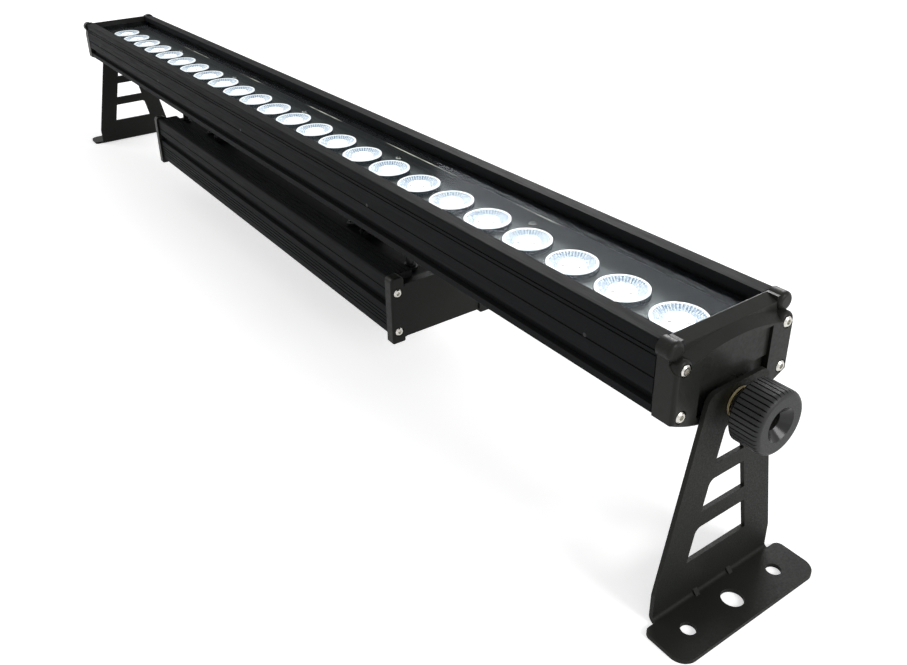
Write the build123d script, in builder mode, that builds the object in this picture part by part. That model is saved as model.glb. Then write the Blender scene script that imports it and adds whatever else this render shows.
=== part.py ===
"""Outdoor wall washer light: a metre-long lamp bar on two tilting brackets, with its driver box slung below.

Millimetres. The origin is on the floor under the middle of the bar, +X runs along the bar and +Z is up.
Most shapes are sections of long extrusions, so each one is drawn across the bar and extruded along X.
Both ends are the same: the left end is the right end turned half a turn about Z.
"""

from build123d import *
import math
import os

os.makedirs("parts", exist_ok=True)

# %% Driving dimensions: the row of lights and the lamp head
led_count = 24
led_pitch = 40.0
row_end_margin = 23.0  # last lens centre to the end of the extrusion
head_clearance = 123.2  # floor to the underside of the head
head_width = 86.0
head_height = 42.0
head_edge_radius = 1.0

rail_inset = 33.0  # middle of the bar to the inner edge of each top rail
rail_height = 5.4  # rail above the glass slot
slot_half_width = 37.7
slot_height = 5.0
glass_thickness = 4.0
seal_wall = 0.5
seal_reach = 3.5  # how far the seal wraps the glass edge

cavity_half_width = 35.6  # light chamber above the shelf
shelf_half_width = 32.5
shelf_level = 16.6
web_level = 11.4  # top of the web that carries the light boards

side_groove_width = 0.9
side_groove_depth = 0.9
side_groove_levels = (35.3, 32.6, 20.3)
heat_groove_low = 5.0
heat_groove_high = 11.5
heat_groove_depth = 4.5

# %% Driving dimensions: light engine
plate_level = 24.7  # top of the black lens plate above the underside
plate_thickness = 1.5
plate_flange = 6.5
lens_radius = 15.5
lens_level = 28.9
lens_rim = 3.3
lens_base_radius = 7.5
lens_base_level = 15.4
lens_play = 0.4
holder_radius = 9.6
holder_bore = 6.4
board_width = 30.0
board_thickness = 1.6
board_gap = 2.0
emitter_size = 5.0
emitter_height = 1.6
plate_screw_spread = 21.5
plate_screw_step = 4  # one pair of screws every so many lights
plate_screw_radius = 1.5
plate_screw_head = 2.9
plate_screw_head_height = 1.8
standoff_radius = 3.0
side_pin_count = 5
side_pin_pitch = 218.0
side_pin_radius = 1.2

# %% Driving dimensions: head end caps, pivots and knobs
cap_gasket = 1.0
cap_thickness = 12.8
cap_overhang = 0.4  # cap outline beyond the extrusion
cap_lobe_drop = 11.5  # how far the round belly under the pivot hangs down
cap_brow_depth = 7.2  # back of the cap to the arched crease below the sloping roof
cap_arch_radius = 116.0
cap_arch_top = 39.6
cap_bevel_fall = 4.0  # drop of the bevel from the crease to the front
cap_cutter_reach = 58.0  # clears everything above the arch
cap_screw_spread = 37.6
cap_screw_levels = (3.1, 29.4)
cap_boss_radius = 5.4
cap_counterbore = 3.7
cap_counterbore_depth = 1.6
cap_screw_radius = 1.6
cap_screw_head = 3.1
cap_screw_head_height = 2.2
cap_screw_length = 26.0
screw_play = 0.05
cap_ear_centre = (40.0, 38.2)
cap_ear_radius = 5.4
cap_ear_depth = 9.0
cap_panel_half_width = 26.0
cap_panel_low = 13.7
cap_panel_high = 31.5
cap_panel_depth = 1.6
cap_well_depth = 3.6
cap_edge_radius = 2.2

pivot_height = 122.5
pivot_pad_radius = 10.0
insert_radius = 7.0
insert_depth = 11.0
insert_floor = 1.5
press_play = 0.02
bolt_hole_play = 0.3
bolt_radius = 4.0
friction_pad = 1.0
joint_gap = 0.3  # air left between pieces that turn on each other

bracket_thickness = 2.5
bracket_foot_reach = 29.0  # outer face of the upright to the toe of the foot
bracket_foot_half_width = 55.0
bracket_toe_corner = 9.0
bracket_heel_corner = 4.0
bracket_base_half_width = 46.2
bracket_straight = 19.0  # height over which the upright stays full width
bracket_side_lean = 0.21  # how much each side leans in, per mm of height
bracket_head_above_pivot = 12.0
bracket_head_radius = 7.0
bracket_bend_radius = 2.0
window_margin = 20.5
window_levels = ((29.0, 50.2), (60.4, 79.2), (88.6, 111.0))
window_open_radius = 4.5  # the two diagonal corners that are well rounded
window_tight_radius = 1.4
foot_hole_radius = 4.2
foot_hole_pitch = 35.0
foot_centre_hole_radius = 6.2
dart_spread = 13.5
dart_leg = 2.8
dart_width = 3.0

washer_radius = 8.6
washer_thickness = 1.2
knob_radius = 17.5
knob_length = 22.7
knob_hub_radius = 7.8  # the neck that presses on the washer
knob_hub_length = 5.6
knob_back_chamfer = 1.0
knob_shoulder = 2.8  # radius of the ribbed shoulder round the smooth face
knob_groove_count = 40
knob_groove_depth = 1.1
knob_groove_half_width = 0.8
knob_mouth_radius = 9.6
knob_mouth_depth = 4.4
knob_bore_radius = 5.2
knob_recess_depth = 8.6
bolt_head_radius = 6.4
bolt_head_height = 5.0
bolt_socket_size = 6.0

# %% Driving dimensions: driver box, its hangers and the link cables
driver_length = 479.0
driver_bottom = 50.0
driver_height = 47.0
driver_width = 86.0
driver_rail_inset = 22.0
driver_recess_depth = 6.0
driver_wall = 7.4
driver_floor = 4.0
driver_roof = 4.0
driver_edge_radius = 1.5
driver_top_groove_pitch = 4.0
driver_top_groove_count = 4
driver_side_groove_levels = (36.5, 16.0, 13.0, 10.0, 7.0)
driver_heat_groove_low = 22.3
driver_heat_groove_high = 29.5
driver_heat_groove_depth = 4.0
driver_cap_thickness = 8.0
driver_cap_rise = 1.5  # corner columns above the rails
driver_cap_drop = 4.5  # cap below the extrusion
driver_column_spread = 39.4
driver_column_width = 11.0
driver_screw_heights = (5.0, 36.2)
driver_gasket = 1.0
driver_cap_middle_rise = 3.0
driver_cap_corner = 1.4
driver_cap_edge = 1.2
driver_column_corner = 3.5
driver_panel_half_width = 33.2
driver_panel_depth = 1.4

hanger_x = 150.0
hanger_length = 36.0
hanger_flange = 3.0
hanger_web = 5.0
hanger_top_half_width = 32.0
hanger_foot_half_width = 20.0
hanger_slot_spread = 24.0
hanger_foot_spread = 13.0
hanger_bolt_radius = 2.5
hanger_bolt_head = 4.3
hanger_bolt_head_height = 2.6
hanger_bolt_pitch = 20.0
slot_mouth = 6.4
slot_inside = 11.2
slot_lip = 2.4
slot_depth = 7.4
nut_play = 0.2
nut_thickness = 3.2
hanger_bolt_grip = 6.0
hanger_web_radius = 2.0
fin_channel_width = 4.0
fin_channel_pitch = 6.5
fin_channel_depth = 5.4
fin_channel_count = 5

cable_radius = 3.0
cable_play = 0.05
cable_y = -15.0
cable_head_x = 184.0
cable_driver_x = 228.0
cable_head_bend = 13.0
cable_driver_bend = 10.0
cable_run_height = 106.0
cable_tail = 5.0  # how far each end reaches into its hole
gland_radius = 5.5
gland_flange = 2.0
gland_nose_radius = 4.2
gland_nose = 2.2

inlet_gland_spread = 18.0
inlet_gland_height = 20.0
inlet_gland_reach = 18.0
inlet_gland_bore = 4.2
inlet_thread_radius = 7.8
inlet_flange_radius = 10.5
inlet_flange = 5.0
inlet_dome_radius = 8.6

supply_length = 300.0
supply_width = 60.0
supply_height = 26.0
supply_edge = 2.0
supply_x = 60.0
control_length = 120.0
control_width = 60.0
control_thickness = 1.6
control_x = -160.0
post_inset = 5.0
post_radius = 3.0
post_height = 6.0

# %% Sizes that follow from the driving dimensions
head_length = (led_count - 1) * led_pitch + 2 * row_end_margin
head_end = head_length / 2
rail_level = head_height - rail_height - slot_height
glass_low = rail_level + (slot_height - glass_thickness) / 2
cap_start = head_end + cap_gasket
cap_face = cap_start + cap_thickness
cap_arch_centre = cap_arch_top - cap_arch_radius
cap_half_width = head_width / 2 + cap_overhang
bracket_inner = cap_face + friction_pad + joint_gap
bracket_outer = bracket_inner + bracket_thickness
bracket_bend_outside = bracket_bend_radius + bracket_thickness
foot_end = bracket_outer + bracket_foot_reach
foot_hole_x = bracket_outer + bracket_foot_reach / 2
washer_start = bracket_outer + joint_gap
knob_start = washer_start + washer_thickness + joint_gap
knob_drum_start = knob_start + knob_hub_length
knob_face = knob_start + knob_length
bolt_tip = cap_face - insert_depth + insert_floor + joint_gap
bolt_seat = knob_face - knob_recess_depth - bolt_head_height
driver_end = driver_length / 2
driver_top = driver_bottom + driver_height
driver_deck = driver_top - driver_recess_depth
inlet_spots = [(-inlet_gland_spread, inlet_gland_height), (inlet_gland_spread, inlet_gland_height)]
pin_positions = [(index - (side_pin_count - 1) / 2) * side_pin_pitch for index in range(side_pin_count)]
pin_reach = head_width / 2 - cavity_half_width + plate_thickness
pin_height = head_clearance + plate_level - plate_flange / 2
led_positions = [(index - (led_count - 1) / 2) * led_pitch for index in range(led_count)]
plate_screw_positions = [
    (led_positions[index] + led_positions[index + 1]) / 2
    for index in range(plate_screw_step - 1, led_count - 1, plate_screw_step)
]


def along(start, height):
    """Plane across the bar at x = start, drawn with +Y to the right and extruded towards +X."""
    return Plane(origin=(start, 0, height), x_dir=(0, 1, 0), z_dir=(1, 0, 0))


def end_plane(side, distance, height=0.0):
    """Plane across the bar at one end, facing outwards: side is +1 at the right end and -1 at the left."""
    return Plane(origin=(side * distance, 0, height), x_dir=(0, side, 0), z_dir=(side, 0, 0))


def side_plane(side, y=0.0, height=0.0):
    """Upright plane along the bar: local x runs outwards towards that end and local y runs up."""
    return Plane(origin=(0, y, height), x_dir=(side, 0, 0), z_dir=(0, -side, 0))


def wall_plane(side):
    """Upright plane on one long side of the head at the height of the side pins, facing outwards."""
    return Plane(origin=(0, side * head_width / 2, pin_height), x_dir=(1, 0, 0), z_dir=(0, side, 0))


def save(block, name):
    """Labels a finished piece and writes it under its own name."""
    block.part.label = name
    export_step(block.part, f"parts/{name}.step")
    print(name, "solids", len(block.part.solids()), "volume", round(block.part.volume))


# %% Head housing: one extrusion with the light chamber above a web, cooling fins and bolt slots below it
with BuildPart() as head_housing:
    with BuildSketch(along(-head_end, head_clearance)):
        with Locations((0, head_height / 2)):
            RectangleRounded(head_width, head_height, head_edge_radius)
        with Locations((0, head_height - rail_height / 2)):
            Rectangle(2 * rail_inset, rail_height, mode=Mode.SUBTRACT)
        with Locations((0, rail_level + slot_height / 2)):
            Rectangle(2 * slot_half_width, slot_height, mode=Mode.SUBTRACT)
        with Locations((0, (shelf_level + rail_level) / 2)):
            Rectangle(2 * cavity_half_width, rail_level - shelf_level, mode=Mode.SUBTRACT)
        with Locations((0, (web_level + shelf_level) / 2)):
            Rectangle(2 * shelf_half_width, shelf_level - web_level, mode=Mode.SUBTRACT)
        with GridLocations(fin_channel_pitch, 0, fin_channel_count, 1):
            with Locations((0, fin_channel_depth / 2)):
                Rectangle(fin_channel_width, fin_channel_depth, mode=Mode.SUBTRACT)
        for side in (-1, 1):
            with Locations((side * hanger_slot_spread, slot_lip / 2)):
                Rectangle(slot_mouth, slot_lip, mode=Mode.SUBTRACT)
            with Locations((side * hanger_slot_spread, (slot_lip + slot_depth) / 2)):
                Rectangle(slot_inside, slot_depth - slot_lip, mode=Mode.SUBTRACT)
            with Locations((side * head_width / 2, (heat_groove_low + heat_groove_high) / 2)):
                Rectangle(2 * heat_groove_depth, heat_groove_high - heat_groove_low, mode=Mode.SUBTRACT)
            for level in side_groove_levels:
                with Locations((side * head_width / 2, level)):
                    Rectangle(2 * side_groove_depth, side_groove_width, mode=Mode.SUBTRACT)
            for level in cap_screw_levels:
                with Locations((side * cap_screw_spread, level)):
                    Circle(cap_screw_radius + screw_play, mode=Mode.SUBTRACT)
    extrude(amount=head_length)
    with Locations(Plane.XY.offset(head_clearance + web_level)):
        with Locations((-cable_head_x, cable_y), (cable_head_x, cable_y)):
            Hole(cable_radius + cable_play, depth=web_level)
    for side in (-1, 1):
        with Locations(wall_plane(side)):
            with Locations(*[(x, 0) for x in pin_positions]):
                Hole(side_pin_radius + press_play, depth=pin_reach)
save(head_housing, "head_housing")

# %% Cover glass in its two silicone edge seals
with BuildPart() as cover_glass:
    with BuildSketch(along(-head_end, head_clearance)):
        with Locations((0, glass_low + glass_thickness / 2)):
            Rectangle(2 * (slot_half_width - seal_wall), glass_thickness)
    extrude(amount=head_length)
save(cover_glass, "cover_glass")

for name, side in (("front", -1), ("rear", 1)):
    with BuildPart() as glass_seal:
        with BuildSketch(along(-head_end, head_clearance)):
            with Locations((side * (slot_half_width - seal_reach / 2), rail_level + slot_height / 2)):
                Rectangle(seal_reach, slot_height)
            with Locations((0, rail_level + slot_height / 2)):
                Rectangle(2 * (slot_half_width - seal_wall), glass_thickness, mode=Mode.SUBTRACT)
        extrude(amount=head_length)
    save(glass_seal, f"glass_seal_{name}")

# %% Lens plate: a folded black tray on the shelf, pierced once for each lens
with BuildPart() as lens_plate:
    with BuildSketch(along(-head_end, head_clearance)):
        with Locations((0, plate_level - plate_thickness / 2)):
            Rectangle(2 * cavity_half_width, plate_thickness)
        for side in (-1, 1):
            flange_middle = side * (cavity_half_width - plate_thickness / 2)
            with Locations((flange_middle, plate_level - plate_flange / 2)):
                Rectangle(plate_thickness, plate_flange)
    extrude(amount=head_length)
    with Locations(Plane.XY.offset(head_clearance + plate_level)):
        with GridLocations(led_pitch, 0, led_count, 1):
            Hole(lens_radius + lens_play, depth=2 * plate_thickness)
        for x in plate_screw_positions:
            with Locations((x, -plate_screw_spread), (x, plate_screw_spread)):
                Hole(plate_screw_radius + screw_play, depth=2 * plate_thickness)
    for side in (-1, 1):
        with Locations(wall_plane(side)):
            with Locations(*[(x, 0) for x in pin_positions]):
                Hole(side_pin_radius + press_play, depth=pin_reach)
save(lens_plate, "lens_plate")

# %% Lenses: one turned profile, repeated along the row
with BuildPart() as lenses:
    with BuildSketch(Plane.XZ) as lens_profile:
        with BuildLine():
            Polyline(
                (0, lens_base_level),
                (lens_base_radius, lens_base_level),
                (lens_radius, lens_level - lens_rim),
                (lens_radius, lens_level),
                (0, lens_level),
                close=True,
            )
        make_face()
    with Locations(*[(x, 0, head_clearance) for x in led_positions]):
        add(revolve(lens_profile.sketch, Axis.Z, mode=Mode.PRIVATE))
save(lenses, "lenses")

# %% Light boards on the web, with one emitter under each lens
board_length = head_end - board_gap
for name, side in (("left", -1), ("right", 1)):
    with BuildPart() as led_board:
        with BuildSketch(Plane.XY.offset(head_clearance + web_level)):
            with Locations((side * (board_gap / 2 + board_length / 2), 0)):
                Rectangle(board_length, board_width)
        extrude(amount=board_thickness)
    save(led_board, f"led_board_{name}")

with BuildPart() as emitters:
    with BuildSketch(Plane.XY.offset(head_clearance + web_level + board_thickness)):
        with GridLocations(led_pitch, 0, led_count, 1):
            Rectangle(emitter_size, emitter_size)
    extrude(amount=emitter_height)
save(emitters, "emitters")

# %% Holder rings that seat each lens on its board
with BuildPart() as lens_holders:
    with BuildSketch(Plane.XY.offset(head_clearance + web_level + board_thickness)):
        with GridLocations(led_pitch, 0, led_count, 1):
            Circle(holder_radius)
            Circle(holder_bore, mode=Mode.SUBTRACT)
    extrude(amount=lens_base_level - web_level - board_thickness)
save(lens_holders, "lens_holders")

# %% Standoffs and screws that hold the lens plate down beside the lenses
screw_spots = [(x, y) for x in plate_screw_positions for y in (-plate_screw_spread, plate_screw_spread)]
with BuildPart() as plate_standoffs:
    with BuildSketch(Plane.XY.offset(head_clearance + web_level)):
        with Locations(*screw_spots):
            RegularPolygon(standoff_radius, 6)
            Circle(plate_screw_radius + screw_play, mode=Mode.SUBTRACT)
    extrude(amount=plate_level - plate_thickness - web_level)
save(plate_standoffs, "plate_standoffs")

with BuildPart() as plate_screws:
    with BuildSketch(Plane.XY.offset(head_clearance + plate_level)):
        with Locations(*screw_spots):
            Circle(plate_screw_head)
    extrude(amount=plate_screw_head_height)
    chamfer(plate_screws.edges().group_by(Axis.Z)[-1], plate_screw_head_height / 3)
    with BuildSketch(Plane.XY.offset(head_clearance + plate_level)):
        with Locations(*screw_spots):
            Circle(plate_screw_radius)
    extrude(amount=-(plate_level - web_level) / 2)
save(plate_screws, "plate_screws")

# %% Side pins: small screws through both side walls into the tray's flanges
with BuildPart() as side_pins:
    for side in (-1, 1):
        with BuildSketch(wall_plane(side)):
            with Locations(*[(x, 0) for x in pin_positions]):
                Circle(side_pin_radius)
        extrude(amount=-pin_reach)
save(side_pins, "side_pins")

# %% Head end caps: castings with screw bosses, a sloping roof, a sunk panel and a round belly for the pivot
screw_spots = [(side * cap_screw_spread, level) for side in (-1, 1) for level in cap_screw_levels]
pivot_spot = (0, pivot_height - head_clearance)
ear_spots = [cap_ear_centre, (-cap_ear_centre[0], cap_ear_centre[1])]
roof_half_width = cap_ear_centre[0] - cap_ear_radius


def rounded_post(radius, height):
    """A round post standing outwards from the cap's back, with its outer rim rounded like the cap's edge."""
    post = Solid.make_cylinder(radius, height)
    return post.fillet(cap_edge_radius, [post.edges().sort_by(Axis.Z)[-1]])


for name, side in (("left", -1), ("right", 1)):
    with BuildPart() as head_cap:
        with BuildSketch(end_plane(side, cap_start, head_clearance)):
            with Locations((0, head_height / 2)):
                Rectangle(head_width + 2 * cap_overhang, head_height + 2 * cap_overhang)
            with BuildLine():
                ThreePointArc(
                    (-cap_half_width, -cap_overhang),
                    (0, -cap_lobe_drop),
                    (cap_half_width, -cap_overhang),
                )
                Line((cap_half_width, -cap_overhang), (-cap_half_width, -cap_overhang))
            make_face()
        extrude(amount=cap_thickness)
        outer = -1 if side > 0 else 0
        fillet(head_cap.faces().sort_by(Axis.X)[outer].edges(), cap_edge_radius)
        with BuildSketch(side_plane(side, 0, head_clearance)):
            with BuildLine():
                Polyline(
                    (cap_start + cap_brow_depth, cap_arch_centre + cap_arch_radius),
                    (cap_face, cap_arch_centre + cap_arch_radius - cap_bevel_fall),
                    (cap_face + cap_bevel_fall, cap_arch_centre + cap_arch_radius - 2 * cap_bevel_fall),
                    (cap_face + cap_bevel_fall, cap_arch_centre + cap_arch_radius + cap_cutter_reach),
                    (cap_start + cap_brow_depth, cap_arch_centre + cap_arch_radius + cap_cutter_reach),
                    close=True,
                )
            make_face()
        revolve(axis=Axis((0, 0, head_clearance + cap_arch_centre), (1, 0, 0)), mode=Mode.SUBTRACT)
        with Locations(end_plane(side, cap_start, head_clearance)):
            with Locations(*screw_spots):
                add(rounded_post(cap_boss_radius, cap_thickness))
            with Locations(*ear_spots):
                add(rounded_post(cap_ear_radius, cap_ear_depth))
        roof_top = head_height + cap_overhang
        with BuildSketch(side_plane(side, 0, head_clearance)):
            with BuildLine():
                Polyline(
                    (cap_start + cap_overhang, roof_top + cap_overhang),
                    (cap_start + cap_overhang, roof_top),
                    (cap_start + cap_brow_depth, cap_arch_centre + cap_arch_radius),
                    (cap_face, cap_arch_centre + cap_arch_radius),
                    (cap_face, roof_top + cap_overhang),
                    close=True,
                )
            make_face()
        extrude(amount=roof_half_width, both=True, mode=Mode.SUBTRACT)
        with BuildSketch(end_plane(side, cap_face, head_clearance)):
            with Locations((0, (cap_panel_low + cap_panel_high) / 2)):
                Rectangle(2 * cap_panel_half_width, cap_panel_high - cap_panel_low)
        extrude(amount=-cap_panel_depth, mode=Mode.SUBTRACT)
        with BuildSketch(end_plane(side, cap_face, head_clearance)):
            with BuildLine():
                Polyline(
                    (-cap_panel_half_width, -cap_edge_radius),
                    (-cap_panel_half_width, cap_panel_low),
                    (cap_panel_half_width, cap_panel_low),
                    (cap_panel_half_width, -cap_edge_radius),
                )
                ThreePointArc(
                    (cap_panel_half_width, -cap_edge_radius),
                    (0, cap_edge_radius - cap_lobe_drop),
                    (-cap_panel_half_width, -cap_edge_radius),
                )
            make_face()
            with Locations(pivot_spot):
                Circle(pivot_pad_radius, mode=Mode.SUBTRACT)
        extrude(amount=-cap_well_depth, mode=Mode.SUBTRACT)
        with Locations(end_plane(side, cap_face, head_clearance)):
            with Locations(*screw_spots):
                CounterBoreHole(
                    cap_screw_radius + screw_play, cap_counterbore, cap_counterbore_depth, 2 * cap_thickness
                )
            with Locations(pivot_spot):
                Hole(insert_radius, depth=insert_depth)
    save(head_cap, f"head_cap_{name}")

    with BuildPart() as cap_gasket_ring:
        with BuildSketch(end_plane(side, head_end, head_clearance)):
            with Locations((0, (rail_level + slot_height) / 2)):
                Rectangle(head_width - 2 * cap_overhang, rail_level + slot_height - 2 * cap_overhang)
            with Locations((0, (web_level + rail_level) / 2)):
                Rectangle(2 * shelf_half_width, rail_level - web_level, mode=Mode.SUBTRACT)
            with Locations(*screw_spots):
                Circle(cap_screw_radius + screw_play, mode=Mode.SUBTRACT)
        extrude(amount=cap_gasket)
    save(cap_gasket_ring, f"head_gasket_{name}")

    with BuildPart() as cap_screws:
        seat = cap_face - cap_counterbore_depth
        with BuildSketch(end_plane(side, seat, head_clearance)):
            with Locations(*screw_spots):
                Circle(cap_screw_head)
        extrude(amount=cap_screw_head_height)
        rim = cap_screws.faces().filter_by(Axis.X).group_by(Axis.X)[-1 if side > 0 else 0].edges()
        chamfer(rim, cap_screw_head_height / 3)
        with BuildSketch(end_plane(side, seat + cap_screw_head_height, head_clearance)):
            with Locations(*screw_spots):
                RegularPolygon(cap_screw_head / 2, 6)
        extrude(amount=-cap_screw_head_height / 2, mode=Mode.SUBTRACT)
        with BuildSketch(end_plane(side, seat, head_clearance)):
            with Locations(*screw_spots):
                Circle(cap_screw_radius)
        extrude(amount=-cap_screw_length)
    save(cap_screws, f"head_cap_screws_{name}")

# %% Pivot: threaded insert in the cap, friction ring, bracket, brass washer, then the knob on its bolt
def bracket_half_width(height):
    """Half the width of the tapering upright at a height above the floor."""
    return bracket_base_half_width - bracket_side_lean * max(0.0, height - bracket_straight)


bracket_top = pivot_height + bracket_head_above_pivot
for name, side in (("left", -1), ("right", 1)):
    with BuildPart() as pivot_insert:
        with BuildSketch(end_plane(side, cap_face - insert_depth, pivot_height)):
            Circle(insert_radius - press_play)
        extrude(amount=insert_depth)
        with Locations(end_plane(side, cap_face, pivot_height)):
            Hole(bolt_radius + screw_play, depth=insert_depth - insert_floor)
    save(pivot_insert, f"pivot_insert_{name}")

    with BuildPart() as friction_ring:
        with BuildSketch(end_plane(side, cap_face, pivot_height)):
            Circle(pivot_pad_radius)
            Circle(bolt_radius + bolt_hole_play, mode=Mode.SUBTRACT)
        extrude(amount=friction_pad)
    save(friction_ring, f"friction_ring_{name}")

    with BuildPart() as bracket:
        with BuildSketch(side_plane(side)):
            with BuildLine():
                bend_centre = (bracket_inner + bracket_bend_outside, bracket_bend_outside)
                Polyline(
                    (bracket_inner, bracket_bend_outside),
                    (bracket_inner, bracket_top),
                    (bracket_outer, bracket_top),
                    (bracket_outer, bracket_bend_outside),
                )
                CenterArc(bend_centre, bracket_bend_radius, 180, 90)
                Polyline(
                    (bend_centre[0], bracket_thickness),
                    (foot_end, bracket_thickness),
                    (foot_end, 0),
                    (bend_centre[0], 0),
                )
                CenterArc(bend_centre, bracket_bend_outside, 180, 90)
            make_face()
        extrude(amount=bracket_foot_half_width, both=True)
        with BuildSketch(end_plane(side, bracket_inner)):
            with BuildLine():
                Polyline(
                    (-bracket_base_half_width, 0),
                    (-bracket_base_half_width, bracket_straight),
                    (-bracket_half_width(bracket_top), bracket_top),
                    (bracket_half_width(bracket_top), bracket_top),
                    (bracket_base_half_width, bracket_straight),
                    (bracket_base_half_width, 0),
                    close=True,
                )
            make_face()
            with Locations((0, bracket_thickness / 2)):
                Rectangle(2 * bracket_foot_half_width, bracket_thickness)
        extrude(amount=foot_end - bracket_inner, mode=Mode.INTERSECT)
        foot_ear = bracket_foot_half_width - bracket_base_half_width
        with BuildSketch(Plane.XY):
            with Locations(
                (side * bracket_inner, -bracket_base_half_width - foot_ear / 2),
                (side * bracket_inner, bracket_base_half_width + foot_ear / 2),
            ):
                Rectangle(2 * bracket_bend_outside, foot_ear)
        extrude(amount=bracket_bend_outside, mode=Mode.SUBTRACT)
        corners = bracket.edges().filter_by(Axis.Z).filter_by(
            lambda edge: abs(edge.center().Y) > bracket_foot_half_width - 1
        )
        fillet(corners.filter_by(lambda edge: abs(edge.center().X) > foot_end - 1), bracket_toe_corner)
        fillet(corners.filter_by(lambda edge: abs(edge.center().X) < foot_end - 1), bracket_heel_corner)
        across = bracket.edges().filter_by(Axis.X)
        fillet(across.filter_by(lambda edge: edge.center().Z > bracket_top - 1), bracket_head_radius)
        with BuildSketch(end_plane(side, bracket_inner)) as windows:
            for low, high in window_levels:
                with BuildLine():
                    Polyline(
                        (window_margin - bracket_half_width(low), low),
                        (bracket_half_width(low) - window_margin, low),
                        (bracket_half_width(high) - window_margin, high),
                        (window_margin - bracket_half_width(high), high),
                        close=True,
                    )
                make_face()
            for window in windows.faces():
                middle = window.center()
                for corner in window.vertices():
                    offset = corner.center() - middle
                    rounded = offset.X * offset.Y < 0
                    fillet(corner, window_open_radius if rounded else window_tight_radius)
        extrude(amount=bracket_thickness, mode=Mode.SUBTRACT)
        with Locations(end_plane(side, bracket_outer, pivot_height)):
            Hole(bolt_radius + bolt_hole_play, depth=bracket_thickness)
        with Locations(Plane.XY.offset(bracket_thickness)):
            with Locations((side * foot_hole_x, -foot_hole_pitch), (side * foot_hole_x, foot_hole_pitch)):
                Hole(foot_hole_radius, depth=bracket_thickness)
            with Locations((side * foot_hole_x, 0)):
                Hole(foot_centre_hole_radius, depth=bracket_thickness)
        for y in (-dart_spread, dart_spread):
            with BuildSketch(side_plane(side, y)):
                with BuildLine():
                    Polyline(
                        (bracket_outer - bracket_thickness / 2, bracket_thickness + dart_leg),
                        (bracket_outer, bracket_thickness + dart_leg),
                        (bracket_outer + dart_leg, bracket_thickness),
                        (bracket_outer + dart_leg, bracket_thickness / 2),
                        (bracket_outer - bracket_thickness / 2, bracket_thickness / 2),
                        close=True,
                    )
                make_face()
            extrude(amount=dart_width / 2, both=True)
    save(bracket, f"bracket_{name}")

    with BuildPart() as washer:
        with BuildSketch(end_plane(side, washer_start, pivot_height)):
            Circle(washer_radius)
            Circle(bolt_radius + bolt_hole_play, mode=Mode.SUBTRACT)
        extrude(amount=washer_thickness)
    save(washer, f"brass_washer_{name}")

    with BuildPart() as knob:
        with BuildSketch(side_plane(side, 0, pivot_height)):
            with BuildLine():
                shoulder_centre = (knob_face - knob_shoulder, knob_radius - knob_shoulder)
                Polyline(
                    (knob_face - knob_shoulder, knob_radius),
                    (knob_drum_start + knob_back_chamfer, knob_radius),
                    (knob_drum_start, knob_radius - knob_back_chamfer),
                    (knob_drum_start, knob_hub_radius),
                    (knob_start, knob_hub_radius),
                    (knob_start, bolt_radius + press_play),
                    (bolt_seat, bolt_radius + press_play),
                    (bolt_seat, bolt_head_radius + press_play),
                    (knob_face - knob_recess_depth, bolt_head_radius + press_play),
                    (knob_face - knob_recess_depth, knob_bore_radius),
                    (knob_face - knob_mouth_depth, knob_bore_radius),
                    (knob_face, knob_mouth_radius),
                    (knob_face, knob_radius - knob_shoulder),
                )
                CenterArc(shoulder_centre, knob_shoulder, 0, 90)
            make_face()
        revolve(axis=Axis((0, 0, pivot_height), (1, 0, 0)))
        with BuildSketch(end_plane(side, knob_drum_start, pivot_height)):
            with PolarLocations(knob_radius, knob_groove_count):
                Polygon(
                    (-knob_groove_depth, 0),
                    (knob_groove_depth, knob_groove_half_width),
                    (knob_groove_depth, -knob_groove_half_width),
                    align=None,
                )
        extrude(amount=knob_face - knob_drum_start, mode=Mode.SUBTRACT)
    save(knob, f"knob_{name}")

    with BuildPart() as knob_bolt:
        with BuildSketch(end_plane(side, bolt_tip, pivot_height)):
            Circle(bolt_radius)
        extrude(amount=bolt_seat - bolt_tip)
        with BuildSketch(end_plane(side, bolt_seat, pivot_height)):
            Circle(bolt_head_radius)
        extrude(amount=bolt_head_height)
        with BuildSketch(end_plane(side, bolt_seat + bolt_head_height, pivot_height)):
            RegularPolygon(bolt_socket_size / math.sqrt(3), 6)
        extrude(amount=-bolt_head_height / 2, mode=Mode.SUBTRACT)
    save(knob_bolt, f"knob_bolt_{name}")

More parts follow.
